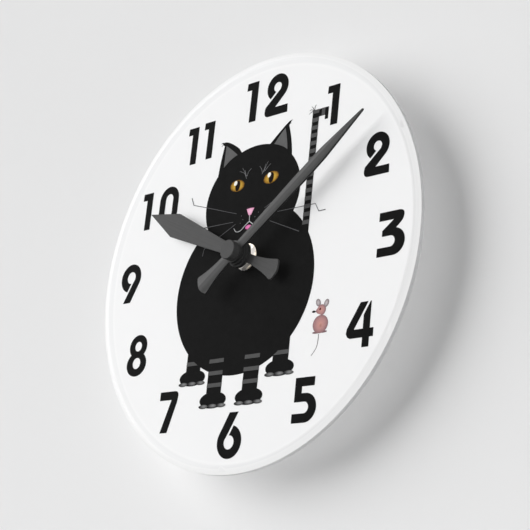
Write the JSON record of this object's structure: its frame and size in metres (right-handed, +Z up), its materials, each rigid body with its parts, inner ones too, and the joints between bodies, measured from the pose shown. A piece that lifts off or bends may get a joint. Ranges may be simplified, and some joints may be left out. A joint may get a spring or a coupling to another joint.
{
  "type": "wall clock",
  "caption": "Round wall clock with a printed cat on a white acrylic dial, two dark grey hands and a battery quartz movement behind.",
  "frame": {"origin": "where the axis of the hands meets the wall, on the flat back of the movement case", "axes": "+Z up towards 12 o'clock, +X towards 3 o'clock seen from the front, +Y into the wall; the dial faces -Y"},
  "size_m": [0.2032, 0.0332, 0.2032],
  "materials": {
    "dial_acrylic": "polished white acrylic sheet with a rounded front edge",
    "ink_black": "flat black printing ink",
    "ink_grey": "flat mid-grey printing ink",
    "ink_amber": "amber printing ink with a darker rim",
    "ink_pink": "pink printing ink",
    "ink_rose": "dull rose printing ink",
    "nickel_plate": "bright nickel plate on the turned nut",
    "washer_brass": "stamped brass",
    "gasket_rubber": "black rubber",
    "bushing_brass": "threaded brass",
    "hand_grey": "dark grey satin paint",
    "black_plastic": "black moulded plastic with a fine texture",
    "knob_plastic": "dark grey moulded plastic",
    "wheel_plastic": "natural white acetal",
    "wheel_yellow": "yellow acetal",
    "arbor_steel": "turned steel",
    "magnet_dark": "sintered magnet",
    "motor_iron": "punched soft-magnetic sheet",
    "bobbin_plastic": "moulded bobbin plastic",
    "copper_wire": "enamelled copper wire",
    "screw_steel": "zinc-plated steel",
    "board_green": "green printed circuit board",
    "chip_epoxy": "black epoxy",
    "crystal_can": "drawn metal can",
    "contact_plate": "nickel-plated spring steel",
    "lead_sleeve": "black insulated wire",
    "battery_sleeve": null
  },
  "bodies": {
    "clock_body": {"dial_plate": "dial_acrylic", "numeral_print": "ink_black", "cat_print": "ink_black", "stripe_print": "ink_grey", "eye_print": "ink_amber", "nose_print": "ink_pink", "mouse_print": "ink_rose", "hex_nut": "nickel_plate", "brass_washer": "washer_brass", "rubber_gasket": "gasket_rubber", "threaded_bushing": "bushing_brass", "movement_case": "black_plastic", "rear_cover": "black_plastic", "stator": "motor_iron", "coil_core": "motor_iron", "coil_bobbin": "bobbin_plastic", "coil_winding": "copper_wire", "stator_screws": "screw_steel", "circuit_board": "board_green", "clock_chip": "chip_epoxy", "quartz_crystal": "crystal_can", "coil_leads": "copper_wire", "positive_contact": "contact_plate", "negative_contact": "contact_plate", "negative_lead": "lead_sleeve"},
    "minute_group": {"minute_hand": "hand_grey", "hand_cap": "hand_grey", "minute_arbor": "arbor_steel"},
    "hour_group": {"hour_hand": "hand_grey", "hour_wheel": "wheel_plastic"},
    "intermediate": {"intermediate_wheel": "wheel_plastic"},
    "setting": {"setting_knob": "knob_plastic", "setting_pinion": "wheel_plastic"},
    "centre": {"centre_wheel": "wheel_yellow"},
    "third": {"third_wheel": "wheel_plastic"},
    "second": {"second_wheel": "wheel_yellow"},
    "fifth": {"fifth_wheel": "wheel_plastic"},
    "rotor": {"rotor_pinion": "wheel_plastic", "rotor_magnet": "magnet_dark"},
    "battery": {"battery": "battery_sleeve"}
  },
  "joints": [
    {"name": "minute_turn", "type": "hinge", "parent": "clock_body", "child": "minute_group", "pos_m": [0, -0.0294, 0], "axis": [0, 1, 0], "continuous": true},
    {"name": "hour_turn", "type": "hinge", "parent": "clock_body", "child": "hour_group", "pos_m": [0, -0.0143, 0], "axis": [0, 1, 0], "continuous": true},
    {"name": "intermediate_turn", "type": "hinge", "parent": "clock_body", "child": "intermediate", "pos_m": [-0.00919, -0.0127, 0.00771], "axis": [0, 1, 0], "continuous": true},
    {"name": "setting_turn", "type": "hinge", "parent": "clock_body", "child": "setting", "pos_m": [-0.01128, -0.0127, 0.01953], "axis": [0, 1, 0], "continuous": true},
    {"name": "rotor_turn", "type": "hinge", "parent": "clock_body", "child": "rotor", "pos_m": [-0.01762, -0.0044, -0.00128], "axis": [0, 1, 0], "continuous": true},
    {"name": "fifth_turn", "type": "hinge", "parent": "clock_body", "child": "fifth", "pos_m": [-0.01057, -0.0066, -0.00385], "axis": [0, 1, 0], "continuous": true},
    {"name": "second_turn", "type": "hinge", "parent": "clock_body", "child": "second", "pos_m": [0, -0.0081, 0], "axis": [0, 1, 0], "continuous": true},
    {"name": "third_turn", "type": "hinge", "parent": "clock_body", "child": "third", "pos_m": [0.00739, -0.0096, 0.00881], "axis": [0, 1, 0], "continuous": true},
    {"name": "centre_turn", "type": "hinge", "parent": "clock_body", "child": "centre", "pos_m": [0, -0.0111, 0], "axis": [0, 1, 0], "continuous": true},
    {"name": "battery_out", "type": "slide", "parent": "clock_body", "child": "battery", "axis": [0, 1, 0], "range_m": [0, 0.02]}
  ],
  "couplings": [
    {"joint": "hour_turn", "follows": "minute_turn", "ratio": 0.083333},
    {"joint": "intermediate_turn", "follows": "minute_turn", "ratio": -0.33333},
    {"joint": "setting_turn", "follows": "minute_turn", "ratio": 1},
    {"joint": "fifth_turn", "follows": "rotor_turn", "ratio": -0.13333},
    {"joint": "second_turn", "follows": "rotor_turn", "ratio": 0.033333},
    {"joint": "third_turn", "follows": "rotor_turn", "ratio": -0.0041667},
    {"joint": "centre_turn", "follows": "rotor_turn", "ratio": 0.00055556}
  ]
}
